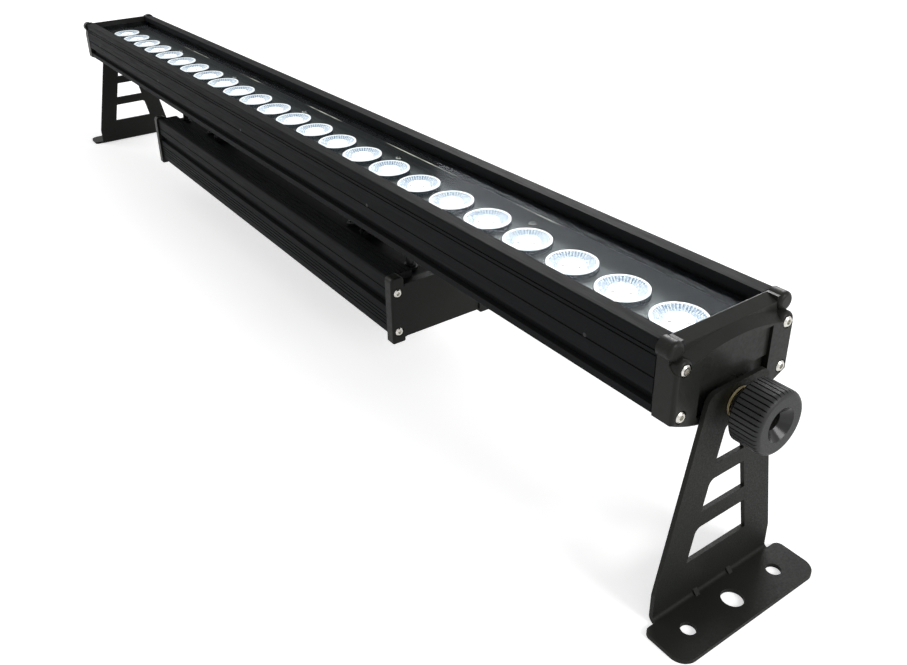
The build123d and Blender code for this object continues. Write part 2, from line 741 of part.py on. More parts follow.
# %% Driver box: a shorter extrusion with a sunk deck between two grooved rails
hanger_spots = [
    (hanger_side * hanger_x + step, y_side)
    for hanger_side in (-1, 1)
    for step in (-hanger_bolt_pitch / 2, hanger_bolt_pitch / 2)
    for y_side in (-1, 1)
]
driver_bolt_spots = [(x, y_side * hanger_foot_spread) for x, y_side in hanger_spots]
head_bolt_spots = [(x, y_side * hanger_slot_spread) for x, y_side in hanger_spots]
driver_screw_spots = [
    (side * driver_column_spread, level)
    for side in (-1, 1)
    for level in driver_screw_heights
]
with BuildPart() as driver_housing:
    with BuildSketch(along(-driver_end, driver_bottom)):
        with Locations((0, driver_height / 2)):
            RectangleRounded(driver_width, driver_height, driver_edge_radius)
        with Locations((0, driver_height - driver_recess_depth / 2)):
            Rectangle(2 * driver_rail_inset, driver_recess_depth, mode=Mode.SUBTRACT)
        with Locations((0, (driver_floor + driver_height - driver_recess_depth - driver_roof) / 2)):
            Rectangle(
                driver_width - 2 * driver_wall,
                driver_height - driver_recess_depth - driver_roof - driver_floor,
                mode=Mode.SUBTRACT,
            )
        for side in (-1, 1):
            for index in range(driver_top_groove_count):
                groove_y = driver_rail_inset + (index + 1) * driver_top_groove_pitch
                with Locations((side * groove_y, driver_height)):
                    Rectangle(side_groove_width, 2 * side_groove_depth, mode=Mode.SUBTRACT)
            for level in driver_side_groove_levels:
                with Locations((side * driver_width / 2, level)):
                    Rectangle(2 * side_groove_depth, side_groove_width, mode=Mode.SUBTRACT)
            with Locations((side * driver_width / 2, (driver_heat_groove_low + driver_heat_groove_high) / 2)):
                Rectangle(
                    2 * driver_heat_groove_depth,
                    driver_heat_groove_high - driver_heat_groove_low,
                    mode=Mode.SUBTRACT,
                )
            for level in driver_screw_heights:
                with Locations((side * driver_column_spread, level)):
                    Circle(cap_screw_radius + screw_play, mode=Mode.SUBTRACT)
    extrude(amount=driver_length)
    with Locations(Plane.XY.offset(driver_deck)):
        with Locations(*driver_bolt_spots):
            Hole(hanger_bolt_radius + screw_play, depth=driver_roof)
        with Locations((-cable_driver_x, cable_y), (cable_driver_x, cable_y)):
            Hole(cable_radius + cable_play, depth=driver_roof)
save(driver_housing, "driver_housing")

for name, side in (("left", -1), ("right", 1)):
    with BuildPart() as driver_seal:
        with BuildSketch(end_plane(side, driver_end, driver_bottom)):
            with Locations((0, driver_height / 2)):
                Rectangle(driver_width - 2 * cap_overhang, driver_height - 2 * cap_overhang)
            with Locations((0, driver_height - driver_recess_depth / 2)):
                Rectangle(2 * driver_rail_inset, driver_recess_depth, mode=Mode.SUBTRACT)
            with Locations((0, (driver_floor + driver_height - driver_recess_depth - driver_roof) / 2)):
                Rectangle(
                    driver_width - 2 * driver_wall,
                    driver_height - driver_recess_depth - driver_roof - driver_floor,
                    mode=Mode.SUBTRACT,
                )
            with Locations(*driver_screw_spots):
                Circle(cap_screw_radius + screw_play, mode=Mode.SUBTRACT)
        extrude(amount=driver_gasket)
    save(driver_seal, f"driver_gasket_{name}")

    driver_cap_start = driver_end + driver_gasket
    driver_cap_face = driver_cap_start + driver_cap_thickness
    cap_height = driver_height + driver_cap_rise + driver_cap_drop
    with BuildPart() as driver_cap:
        with BuildSketch(end_plane(side, driver_cap_start, driver_bottom)) as cap_outline:
            for y_side in (-1, 1):
                with Locations((y_side * driver_column_spread, cap_height / 2 - driver_cap_drop)):
                    Rectangle(driver_column_width, cap_height)
            cap_middle_high = driver_height - driver_recess_depth
            cap_middle_low = driver_cap_middle_rise - driver_cap_drop
            with Locations((0, (cap_middle_high + cap_middle_low) / 2)):
                Rectangle(2 * driver_column_spread, cap_middle_high - cap_middle_low)
            column_tops = cap_outline.vertices().group_by(Axis.Y)[-1]
            fillet(column_tops, driver_column_corner)
            fillet(cap_outline.vertices().group_by(Axis.Y)[0], driver_cap_corner)
        extrude(amount=driver_cap_thickness)
        outer = -1 if side > 0 else 0
        fillet(driver_cap.faces().sort_by(Axis.X)[outer].edges(), driver_cap_edge)
        with BuildSketch(end_plane(side, driver_cap_face, driver_bottom)):
            with Locations((0, (cap_middle_high + cap_middle_low) / 2)):
                Rectangle(2 * driver_panel_half_width, cap_height)
        extrude(amount=-driver_panel_depth, mode=Mode.SUBTRACT)
        with Locations(end_plane(side, driver_cap_face, driver_bottom)):
            with Locations(*driver_screw_spots):
                CounterBoreHole(
                    cap_screw_radius + screw_play,
                    cap_counterbore,
                    cap_counterbore_depth,
                    2 * driver_cap_thickness,
                )
            if side < 0:
                with Locations(*inlet_spots):
                    Hole(inlet_thread_radius + screw_play, depth=driver_cap_thickness)
    save(driver_cap, f"driver_cap_{name}")

    with BuildPart() as driver_screws:
        seat = driver_cap_face - cap_counterbore_depth
        with BuildSketch(end_plane(side, seat, driver_bottom)):
            with Locations(*driver_screw_spots):
                Circle(cap_screw_head)
        extrude(amount=cap_screw_head_height)
        rim = driver_screws.faces().filter_by(Axis.X).group_by(Axis.X)[-1 if side > 0 else 0].edges()
        chamfer(rim, cap_screw_head_height / 3)
        with BuildSketch(end_plane(side, seat + cap_screw_head_height, driver_bottom)):
            with Locations(*driver_screw_spots):
                RegularPolygon(cap_screw_head / 2, 6)
        extrude(amount=-cap_screw_head_height / 2, mode=Mode.SUBTRACT)
        with BuildSketch(end_plane(side, seat, driver_bottom)):
            with Locations(*driver_screw_spots):
                Circle(cap_screw_radius)
        extrude(amount=-cap_screw_length)
    save(driver_screws, f"driver_cap_screws_{name}")

# %% Inside the driver box: the power supply block and the control board on its posts
inner_floor = driver_bottom + driver_floor
with BuildPart() as power_supply:
    with BuildSketch(Plane.XY.offset(inner_floor)):
        with Locations((supply_x, 0)):
            Rectangle(supply_length, supply_width)
    extrude(amount=supply_height)
    chamfer(power_supply.edges().group_by(Axis.Z)[-1], supply_edge)
save(power_supply, "power_supply")

with BuildPart() as control_board:
    with BuildSketch(Plane.XY.offset(inner_floor)):
        with Locations((control_x, 0)):
            with GridLocations(control_length - 2 * post_inset, control_width - 2 * post_inset, 2, 2):
                Circle(post_radius)
    extrude(amount=post_height)
    with BuildSketch(Plane.XY.offset(inner_floor + post_height)):
        with Locations((control_x, 0)):
            Rectangle(control_length, control_width)
    extrude(amount=control_thickness)
save(control_board, "control_board")

# %% Hangers: two short I-section blocks that hang the driver box under the head
for name, side in (("left", -1), ("right", 1)):
    with BuildPart() as hanger:
        with BuildSketch(along(side * hanger_x - hanger_length / 2, 0)) as i_section:
            with Locations((0, head_clearance - hanger_flange / 2)):
                Rectangle(2 * hanger_top_half_width, hanger_flange)
            with Locations((0, driver_deck + hanger_flange / 2)):
                Rectangle(2 * hanger_foot_half_width, hanger_flange)
            with Locations((0, (driver_deck + head_clearance) / 2)):
                Rectangle(hanger_web, head_clearance - driver_deck)
            inside = i_section.vertices().filter_by(lambda point: abs(abs(point.Y) - hanger_web / 2) < 0.01)
            fillet(inside.filter_by(
                lambda point: driver_deck + 0.1 < point.Z < head_clearance - 0.1), hanger_web_radius)
        extrude(amount=hanger_length)
        with Locations(Plane.XY.offset(head_clearance)):
            with Locations(*[spot for spot in head_bolt_spots if spot[0] * side > 0]):
                Hole(hanger_bolt_radius + screw_play, depth=hanger_flange)
        with Locations(Plane.XY.offset(driver_deck + hanger_flange)):
            with Locations(*[spot for spot in driver_bolt_spots if spot[0] * side > 0]):
                Hole(hanger_bolt_radius + screw_play, depth=hanger_flange)
    save(hanger, f"hanger_{name}")

nut_level = head_clearance + slot_lip
with BuildPart() as hanger_bolts:
    for spots, seat, up in (
        (head_bolt_spots, head_clearance - hanger_flange, 1),
        (driver_bolt_spots, driver_deck + hanger_flange, -1),
    ):
        with BuildSketch(Plane.XY.offset(seat)):
            with Locations(*spots):
                Circle(hanger_bolt_head)
                RegularPolygon(hanger_bolt_radius, 6, mode=Mode.SUBTRACT)
        extrude(amount=-up * hanger_bolt_head_height)
        with BuildSketch(Plane.XY.offset(seat - up * hanger_bolt_head_height / 2)):
            with Locations(*spots):
                Circle(hanger_bolt_radius)
        extrude(amount=up * (hanger_bolt_head_height / 2 + hanger_flange + hanger_bolt_grip))
save(hanger_bolts, "hanger_bolts")

with BuildPart() as hanger_nuts:
    with BuildSketch(Plane.XY.offset(nut_level)):
        with GridLocations(2 * hanger_x, 2 * hanger_slot_spread, 2, 2):
            Rectangle(hanger_length - 2 * hanger_flange, slot_inside - 2 * nut_play)
        with Locations(*head_bolt_spots):
            Circle(hanger_bolt_radius + screw_play, mode=Mode.SUBTRACT)
    extrude(amount=nut_thickness)
save(hanger_nuts, "hanger_nuts")

# %% Link cables from the head's glands along and down into the driver box's glands
for name, height, up, gland_x in (
    ("head_glands", head_clearance, -1, cable_head_x),
    ("driver_glands", driver_deck, 1, cable_driver_x),
):
    with BuildPart() as glands:
        for radius, start, tall in (
            (gland_radius, 0, gland_flange),
            (gland_nose_radius, gland_flange, gland_nose),
        ):
            with BuildSketch(Plane.XY.offset(height + up * start)):
                with Locations((-gland_x, cable_y), (gland_x, cable_y)):
                    Circle(radius)
                    Circle(cable_radius + cable_play, mode=Mode.SUBTRACT)
            extrude(amount=up * tall)
    save(glands, name)

for name, side in (("left", -1), ("right", 1)):
    with BuildPart() as link_cable:
        with BuildLine(side_plane(side, cable_y)) as route:
            top = (cable_head_x, head_clearance + cable_tail)
            drop = Line(top, (cable_head_x, cable_run_height + cable_head_bend))
            first_bend = JernArc(drop @ 1, drop % 1, cable_head_bend, 90)
            run = Line(first_bend @ 1, (cable_driver_x - cable_driver_bend, cable_run_height))
            second_bend = JernArc(run @ 1, run % 1, cable_driver_bend, -90)
            Line(second_bend @ 1, (cable_driver_x, driver_deck - cable_tail))
        cable_end = (side * cable_head_x, cable_y, head_clearance + cable_tail)
        with BuildSketch(Plane(origin=cable_end, z_dir=(0, 0, -1))):
            Circle(cable_radius)
        sweep(path=route.wires()[0])
    save(link_cable, f"link_cable_{name}")

# %% Inlet glands for the mains and data cords in the left driver cap
with BuildPart() as inlet_glands:
    inlet_face = driver_end + driver_gasket + driver_cap_thickness
    for radius, start, tall in (
        (inlet_thread_radius, -driver_cap_thickness, driver_cap_thickness),
        (inlet_flange_radius, -driver_panel_depth, inlet_flange),
        (inlet_dome_radius, inlet_flange - driver_panel_depth, inlet_gland_reach - inlet_flange),
    ):
        with BuildSketch(end_plane(-1, inlet_face + start, driver_bottom)):
            with Locations(*inlet_spots):
                Circle(radius)
                Circle(inlet_gland_bore, mode=Mode.SUBTRACT)
        extrude(amount=tall)
save(inlet_glands, "inlet_glands")
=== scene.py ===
# %% [markdown]
# # An outdoor wall washer light
#
# The lamp is a metre-long black aluminium bar with a row of round lenses behind a strip of glass. It tilts between
# two sheet brackets with ribbed clamp knobs, and its driver box hangs underneath. The exact shapes come from the
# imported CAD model, so this script mostly makes surfaces: it gives every piece the finish of its real material,
# builds the fine parts that catch the light, and sets the camera and the studio.

# %% Load the frame
import bmesh
import bpy
import math
from mathutils import Matrix, Vector


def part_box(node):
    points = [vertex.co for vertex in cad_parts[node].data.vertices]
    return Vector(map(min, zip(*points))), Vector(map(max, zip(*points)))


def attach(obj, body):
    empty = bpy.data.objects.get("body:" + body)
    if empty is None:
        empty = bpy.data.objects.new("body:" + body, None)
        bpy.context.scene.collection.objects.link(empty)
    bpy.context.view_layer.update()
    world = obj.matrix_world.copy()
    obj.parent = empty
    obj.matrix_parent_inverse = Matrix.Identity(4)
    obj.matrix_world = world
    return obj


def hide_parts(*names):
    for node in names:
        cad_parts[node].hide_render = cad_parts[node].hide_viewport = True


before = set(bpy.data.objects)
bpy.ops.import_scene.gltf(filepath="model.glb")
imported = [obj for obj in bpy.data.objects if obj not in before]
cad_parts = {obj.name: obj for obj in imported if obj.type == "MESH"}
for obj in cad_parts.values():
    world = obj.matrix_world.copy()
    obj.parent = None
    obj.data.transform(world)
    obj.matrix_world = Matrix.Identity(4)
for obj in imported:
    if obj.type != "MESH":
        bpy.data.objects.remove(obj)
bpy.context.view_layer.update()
MM = 0.001  # one millimetre in metres, the unit of Blender and the frame

# %% [markdown]
# ## The places that later steps need
#
# The new pieces have to sit where the real ones do. They could be placed by eye in the viewport, but then a change
# in the CAD model would leave them behind. So the lens plate and the lenses say where they are through their boxes,
# and the sizes that a box can't give are real ones in millimetres.

# %% Measure the frame
LENS_COUNT = 24
plate_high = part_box("lens_plate")[1]
lens_low, lens_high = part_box("lenses")
lens_radius = (lens_high.y - lens_low.y) / 2
lens_pitch = (lens_high.x - lens_low.x - 2 * lens_radius) / (LENS_COUNT - 1)
lens_centres = [lens_low.x + lens_radius + index * lens_pitch for index in range(LENS_COUNT)]
print(f"lens radius {lens_radius / MM:.2f} mm, pitch {lens_pitch / MM:.2f} mm")


# %% [markdown]
# ## Colours and nodes
#
# Colours are picked the way a paint chart gives them, as sRGB hex values, but shader nodes add light and so need
# linear values. Those could be written down at once, but nobody can picture them, so a helper works them out.

# %% Colour helper
def linear(hex_colour):
    """An sRGB hex colour such as "#1c1d1e" as a linear RGBA value."""
    channels = [int(hex_colour[start : start + 2], 16) / 255 for start in (1, 3, 5)]
    curve = [value / 12.92 if value <= 0.04045 else ((value + 0.055) / 1.055) ** 2.4 for value in channels]
    return (*curve, 1.0)


print("black anodising in linear light:", [round(value, 4) for value in linear("#1c1d1e")])


# %% [markdown]
# A material is a tree of nodes, and in plain code each node takes a line to add it and one for every value and
# link. This helper does all of that in one call, which keeps the materials below short enough to read as recipes.
# Two more begin and end a material.

# %% Node helpers
def add_node(tree, kind, values=None, links=None, **settings):
    """Adds one node: settings are its properties, values its input numbers, links its joined inputs."""
    node = tree.nodes.new(kind)
    for name, value in settings.items():
        setattr(node, name, value)
    for name, value in (values or {}).items():
        node.inputs[name].default_value = value
    for name, source in (links or {}).items():
        tree.links.new(source, node.inputs[name])
    return node


def start_material(name):
    """A material with only an output node, and that node's tree."""
    material = bpy.data.materials.new(name)
    material.use_nodes = True
    material.node_tree.nodes.clear()
    material.node_tree.nodes.new("ShaderNodeOutputMaterial")
    return material, material.node_tree


def finish_material(material, shader_output):
    """Plugs the last shader into the material's output."""
    output = next(node for node in material.node_tree.nodes if node.type == "OUTPUT_MATERIAL")
    material.node_tree.links.new(shader_output, output.inputs["Surface"])
    return material


print("helpers:", add_node.__name__, start_material.__name__, finish_material.__name__)

# %% [markdown]
# ## One recipe for most surfaces
#
# Most finishes on this lamp are one solid colour, yet no real surface shows it evenly: handling, casting and
# coating leave slow changes in tone, and a grain in the gloss. The tone comes first. Painting it by hand would need
# an image, so a noise with patches of a real size moves the colour between two shades. Blender's noise keeps mostly
# to the middle third of nought to one, so the shades start and end there.

# %% Tones
TONE_RANGE = (0.35, 0.65)


def tones(tree, place, colour, tone, patch_mm):
    """Noise patches of a real size that drift between two colours."""
    patches = add_node(tree, "ShaderNodeTexNoise", {"Scale": 1 / (patch_mm * MM), "Detail": 4.0}, {"Vector": place})
    ramp = add_node(tree, "ShaderNodeValToRGB", links={"Fac": patches.outputs["Fac"]})
    for element, position, shade in zip(ramp.color_ramp.elements, TONE_RANGE, (colour, tone)):
        element.position, element.color = position, linear(shade)
    return ramp.outputs["Color"]


print("shades change over", TONE_RANGE, "of the noise")

# %% [markdown]
# The recipe adds the grain. One fine noise both moves the roughness and lifts a small bump, so that gloss and relief
# agree as they do on a real surface. Stretching the noise along one axis turns the same recipe into drawn metal.
# Specular level, metal and coat are plain numbers on the shader.

# %% The recipe
GRAIN_RANGE = (0.3, 0.7)
SMOOTHEST, ROUGHEST = 0.8, 1.25  # shares of a finish's roughness, at the grain's two ends
RELIEF_STRENGTH = 0.6


def solid_finish(name, colour, tone, roughness, grain_mm, depth_mm, stretch=(1, 1, 1), patch_mm=60, **shader):
    """A surface whose tone drifts and whose gloss and relief have a grain of a real size."""
    material, tree = start_material(name)
    place = add_node(tree, "ShaderNodeTexCoord").outputs["Object"]
    drawn_out = add_node(tree, "ShaderNodeMapping", {"Scale": stretch}, {"Vector": place}).outputs["Vector"]
    grain = add_node(
        tree, "ShaderNodeTexNoise", {"Scale": 1 / (grain_mm * MM), "Detail": 3.0}, {"Vector": drawn_out}
    ).outputs["Fac"]
    gloss = add_node(
        tree, "ShaderNodeMapRange",
        {
            "From Min": GRAIN_RANGE[0], "From Max": GRAIN_RANGE[1],
            "To Min": roughness * SMOOTHEST, "To Max": min(1.0, roughness * ROUGHEST),
        },
        {"Value": grain},
    ).outputs["Result"]
    relief = add_node(
        tree, "ShaderNodeBump", {"Strength": RELIEF_STRENGTH, "Distance": depth_mm * MM}, {"Height": grain}
    ).outputs["Normal"]
    colour_now = tones(tree, drawn_out, colour, tone, patch_mm)
    surface = add_node(
        tree, "ShaderNodeBsdfPrincipled", shader,
        {"Base Color": colour_now, "Roughness": gloss, "Normal": relief},
    )
    return finish_material(material, surface.outputs["BSDF"])


print("the grain changes over", GRAIN_RANGE, "of the noise")

# %% [markdown]
# ## Black anodised aluminium: the two extrusions
#
# An extrusion is squeezed through a die, which leaves fine lines along its length, and anodising keeps them under
# its black oxide. The eye gets long, soft streaks of light that run with the bar. The grain is drawn out forty
# times along X to make those lines. The sealed dye swallows nearly all of the metal's shine, so the surface is
# drawn as a dark matt one and not as a metal. The real die lines are about 0.2 mm apart, too fine to show here, so
# they are drawn 0.7 mm apart.

# %% Extrusion finish
anodised = solid_finish(
    "black_anodised_aluminium", "#1c1d1e", "#252627", roughness=0.52, grain_mm=0.7, depth_mm=0.02,
    stretch=(0.025, 1, 1), **{"Specular IOR Level": 0.02},
)
print(anodised.name)

# %% [markdown]
# ## Coated castings and sheet
#
# The end caps are die cast aluminium with a semi-gloss black coat. The coat flows a little before it cures, so it
# has a soft orange peel about 2 mm across and shows the casting's rounded edges as pale lines. The brackets are
# sheet steel with a black powder coat, which is drier and has a finer, sharper grain.

# %% Cap and bracket finishes
cast_coat = solid_finish(
    "coated_cast_aluminium", "#1b1c1a", "#232421", roughness=0.4, grain_mm=2.0, depth_mm=0.04,
    **{"Specular IOR Level": 0.1, "Coat Weight": 0.05, "Coat Roughness": 0.2},
)
powder_coat = solid_finish(
    "powder_coated_steel", "#171816", "#1e1f1c", roughness=0.55, grain_mm=0.9, depth_mm=0.03,
    **{"Specular IOR Level": 0.12},
)
print(cast_coat.name, powder_coat.name)

# %% [markdown]
# ## Moulded plastic, rubber and fibre
#
# The knobs are glass-filled nylon with a satin spark-eroded texture, the glands and lens holders the same nylon
# without it. Seals, gaskets and cable jackets are soft black rubber, which has almost no highlight. The friction
# rings are pressed fibre: grey, dry and a little mottled.

# %% Plastic and rubber finishes
knob_nylon = solid_finish(
    "moulded_nylon", "#191a1a", "#212221", roughness=0.5, grain_mm=0.6, depth_mm=0.03,
    **{"Specular IOR Level": 0.3},
)
plain_nylon = solid_finish(
    "smooth_nylon", "#111112", "#171718", roughness=0.38, grain_mm=1.0, depth_mm=0.01,
    **{"Specular IOR Level": 0.3},
)
seal_rubber = solid_finish(
    "silicone_rubber", "#0d0d0e", "#131314", roughness=0.7, grain_mm=1.2, depth_mm=0.02,
    **{"Specular IOR Level": 0.2},
)
cable_jacket = solid_finish(
    "cable_jacket_rubber", "#0f0f10", "#161617", roughness=0.4, grain_mm=1.0, depth_mm=0.015,
    **{"Specular IOR Level": 0.4},
)
fibre = solid_finish(
    "pressed_fibre", "#484743", "#5a5852", roughness=0.85, grain_mm=0.8, depth_mm=0.04, patch_mm=4,
)
print(knob_nylon.name, plain_nylon.name, seal_rubber.name, cable_jacket.name, fibre.name)

# %% [markdown]
# The knob's mouth is a smooth cone, polished by the steel core of the mould, while the rest of the knob is matt.
# It could have a material of its own, but the CAD node is one mesh that stays as it is. Both knobs turn about the
# same line along X, so the distance from that line says where the cone is, and a lower roughness inside its radius
# gives the one bright glint on the knob.

# %% Polish the knob's mouth
MOUTH_RADIUS = 9.5 * MM
MOUTH_BLEND = 0.2 * MM
MOUTH_ROUGHNESS = 0.2
knob_low, knob_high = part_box("knob_right")
pivot_level = (knob_low.z + knob_high.z) / 2
tree = knob_nylon.node_tree
place = add_node(tree, "ShaderNodeTexCoord").outputs["Object"]
from_axis = add_node(
    tree, "ShaderNodeVectorMath", {1: (0, 0, pivot_level)}, {0: place}, operation="SUBTRACT"
).outputs["Vector"]
across = add_node(
    tree, "ShaderNodeVectorMath", {1: (0, 1, 1)}, {0: from_axis}, operation="MULTIPLY"
).outputs["Vector"]
distance = add_node(tree, "ShaderNodeVectorMath", links={0: across}, operation="LENGTH").outputs["Value"]
nylon = next(node for node in tree.nodes if node.type == "BSDF_PRINCIPLED")
polished = add_node(
    tree, "ShaderNodeMapRange",
    {"From Min": MOUTH_RADIUS - MOUTH_BLEND, "From Max": MOUTH_RADIUS, "To Min": MOUTH_ROUGHNESS},
    {"Value": distance, "To Max": nylon.inputs["Roughness"].links[0].from_socket},
)
tree.links.new(polished.outputs["Result"], nylon.inputs["Roughness"])
print(f"knobs turn about a line {pivot_level / MM:.1f} mm above the floor")

# %% [markdown]
# ## Bright metals
#
# Screws, bolts and inserts are turned stainless steel, and the washers turned brass. Turning leaves rings too fine
# to see, which widen the highlight, so both are full metals with a moderate roughness and a fine grain. The side
# pins and the hanger hardware are steel with a black oxide skin, which hides about half of the metal's shine.

# %% Metal finishes
stainless = solid_finish(
    "turned_stainless_steel", "#c4c2bb", "#d6d4cd", roughness=0.24, grain_mm=0.4, depth_mm=0.01, patch_mm=5,
    Metallic=1.0,
)
brass = solid_finish(
    "turned_brass", "#dccb96", "#ebdcb4", roughness=0.42, grain_mm=0.4, depth_mm=0.002, patch_mm=6, Metallic=1.0,
)
black_oxide = solid_finish(
    "black_oxide_steel", "#141517", "#1d1e20", roughness=0.5, grain_mm=0.5, depth_mm=0.01, patch_mm=8, Metallic=0.5,
)
print(stainless.name, brass.name, black_oxide.name)

# %% [markdown]
# ## Inside the lamp
#
# The lens plate is painted aluminium, dark grey and smooth enough to mirror the lit lenses as soft smears. The
# light boards are white solder mask on aluminium, the emitters yellow phosphor. The power supply is potted in a
# plastic case, and the control board is green glass-fibre laminate.

# %% Inner finishes
plate_paint = solid_finish(
    "painted_plate_aluminium", "#38393a", "#545654", roughness=0.42, grain_mm=3.0, depth_mm=0.01,
    stretch=(0.03, 1, 1), patch_mm=14, **{"Specular IOR Level": 0.4},
)
solder_mask = solid_finish("white_solder_mask", "#d9d8d2", "#e6e5df", roughness=0.4, grain_mm=1.5, depth_mm=0.01)
phosphor = solid_finish("phosphor", "#dcc65a", "#ead77a", roughness=0.6, grain_mm=0.5, depth_mm=0.01, patch_mm=2)
potting = solid_finish("potted_plastic_case", "#2b2b2d", "#343436", roughness=0.5, grain_mm=1.0, depth_mm=0.02)
laminate = solid_finish(
    "glass_fibre_laminate", "#16402a", "#1d5236", roughness=0.4, grain_mm=0.8, depth_mm=0.02, patch_mm=3
)
print(plate_paint.name, solder_mask.name, phosphor.name, potting.name, laminate.name)

# %% [markdown]
# ## The cover glass
#
# Toughened float glass is clear, with a faint green-blue tint and an index of refraction of 1.5. It lets most light
# straight through and mirrors the studio at low angles. Path tracing light through two faces of solid glass is slow
# and noisy, so the shader mixes clear pass-through with gloss, which looks the same on a flat strip. The share of
# gloss follows from that index and grows as the glass is seen at a lower angle. A studio that is white all round
# would fill the mirror with white, where the photograph shows a dark one, so the gloss has a dark grey tint. From
# inside, the share would reach one and turn the far face into a full mirror, so the gloss is kept to the faces that
# look outwards. Faint smudges 25 mm across vary its roughness.

# %% Glass finish
GLASS_IOR = 1.5
SMUDGE_SIZE = 25 * MM
SMUDGE_RANGE = (0.3, 0.8)  # of the noise, from clean to smudged
CLEAN_ROUGHNESS, SMUDGED_ROUGHNESS = 0.06, 0.18
glass, tree = start_material("toughened_float_glass")
place = add_node(tree, "ShaderNodeTexCoord").outputs["Object"]
smudges = add_node(tree, "ShaderNodeTexNoise", {"Scale": 1 / SMUDGE_SIZE, "Detail": 5.0}, {"Vector": place})
haze = add_node(
    tree, "ShaderNodeMapRange",
    {
        "From Min": SMUDGE_RANGE[0], "From Max": SMUDGE_RANGE[1],
        "To Min": CLEAN_ROUGHNESS, "To Max": SMUDGED_ROUGHNESS,
    },
    {"Value": smudges.outputs["Fac"]},
)
through = add_node(tree, "ShaderNodeBsdfTransparent", {"Color": linear("#f6f9f9")})
mirror = add_node(tree, "ShaderNodeBsdfGlossy", {"Color": linear("#404245")}, {"Roughness": haze.outputs["Result"]})
mirrored = add_node(tree, "ShaderNodeFresnel", {"IOR": GLASS_IOR})
inside = add_node(tree, "ShaderNodeNewGeometry").outputs["Backfacing"]
share = add_node(
    tree, "ShaderNodeMapRange", {"From Min": 0.0, "From Max": 1.0, "To Max": 0.0},
    {"Value": inside, "To Min": mirrored.outputs["Fac"]},
)
both = add_node(
    tree, "ShaderNodeMixShader",
    links={0: share.outputs["Result"], 1: through.outputs["BSDF"], 2: mirror.outputs["BSDF"]},
)
finish_material(glass, both.outputs["Shader"])
print(glass.name)

# %% [markdown]
# ## Give each CAD node its finish
#
# A node keeps its CAD shape and only its material changes, which is done by filling the object's material slots.
# The table starts at the bar and what is in it, goes out to the caps, brackets and knobs, and ends inside the driver
# box. Left and right nodes share a finish.

# %% Assign finishes
FINISHES = {
    anodised: ["head_housing", "driver_housing", "hanger_left", "hanger_right"],
    glass: ["cover_glass"],
    seal_rubber: ["glass_seal_front", "glass_seal_rear", "head_gasket_left", "head_gasket_right",
                  "driver_gasket_left", "driver_gasket_right"],
    plate_paint: ["lens_plate"],
    solder_mask: ["led_board_left", "led_board_right"],
    phosphor: ["emitters"],
    plain_nylon: ["lens_holders", "head_glands", "driver_glands", "inlet_glands"],
    stainless: ["plate_standoffs", "plate_screws", "head_cap_screws_left", "head_cap_screws_right",
                "driver_cap_screws_left", "driver_cap_screws_right", "pivot_insert_left", "pivot_insert_right",
                "knob_bolt_left", "knob_bolt_right"],
    black_oxide: ["side_pins", "hanger_bolts", "hanger_nuts"],
    cast_coat: ["head_cap_left", "head_cap_right", "driver_cap_left", "driver_cap_right"],
    powder_coat: ["bracket_left", "bracket_right"],
    fibre: ["friction_ring_left", "friction_ring_right"],
    brass: ["brass_washer_left", "brass_washer_right"],
    knob_nylon: ["knob_left", "knob_right"],
    cable_jacket: ["link_cable_left", "link_cable_right"],
    potting: ["power_supply"],
    laminate: ["control_board"],
}
for material, nodes in FINISHES.items():
    for node in nodes:
        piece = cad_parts[node]
        piece.data.materials.clear()
        piece.data.materials.append(material)
finished = {node for nodes in FINISHES.values() for node in nodes}
print("finished:", len(finished), "left for new pieces:", sorted(set(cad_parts) - finished))

# %% [markdown]
# ## Lit lenses
#
# Each lens is a moulded acrylic cup that gathers one emitter's light. It has a flat rim, a funnel of fine upright
# ribs and a raised core in the middle. Lit up, nearly all of it is plain white. Only the inward faces between the
# ribs send little light sideways, so the far side of each funnel shows a blue-grey arc, while to the left and
# right the ribs' own white flanks cover those faces. A texture can't do that, because the arc belongs to whoever
# looks. Real ribs can, so the funnel is modelled rib by rib.

# %% Lens sizes
RIM_WIDTH = 1.3 * MM
RIM_ROUND = 0.3 * MM
LIT_WALL = 1.3 * MM  # the part of the outer wall that glows, below the rim
WALL_FOOT = 1.0 * MM  # how far the wall reaches down into the plate
FUNNEL_DEPTH = 4.6 * MM
FUNNEL_FOOT = 9.3 * MM  # radius of the funnel's foot
CORE_FOOT, CORE_TOP = 8.2 * MM, 7.8 * MM  # the core's radius at its foot and at its upper edge
CORE_DEPTH = 1.7 * MM  # from the rim down to that edge
CORE_SHOULDER = 0.9 * MM
CORE_RISES = (0.5 * MM, 0.8 * MM, 0.9 * MM)  # the core's dome at its shoulder, halfway in and at the middle
RIBS = 42
RIB_DEPTH = 1.2 * MM
RIB_CORNERS = (0.0, 0.6, 0.7, 0.9)  # in shares of one rib's pitch: the valley's two ends, then the rib's
RIB_HEAD_IN, RIB_HEAD_DOWN = 0.4 * MM, 0.9 * MM  # where a rib reaches its full depth
RIB_FOOT_OUT, RIB_FOOT_UP, RIB_FOOT_SHARE = 0.5 * MM, 0.3 * MM, 0.8  # where it starts to run out
LENS_TURN = 67 * MM  # bar length over which the lenses turn by one rib, as no two are seated alike
lens_top = lens_high.z
core_level = lens_top - CORE_DEPTH
print(f"funnel {FUNNEL_DEPTH / MM:.1f} mm deep, {RIBS} ribs of {RIB_DEPTH / MM:.1f} mm")


# %% [markdown]
# The real light comes up from the emitter through clear acrylic, which would take a path tracer very long to find.
# So each face glows by itself, with an emission that depends on nothing but the surface. Its small patches stand for
# the pattern that the emitter's dies throw on the acrylic. The wall below the rim is clear and looks as dark as the
# plate behind it, and the pips are the marks where pins pushed the lens out of its mould.

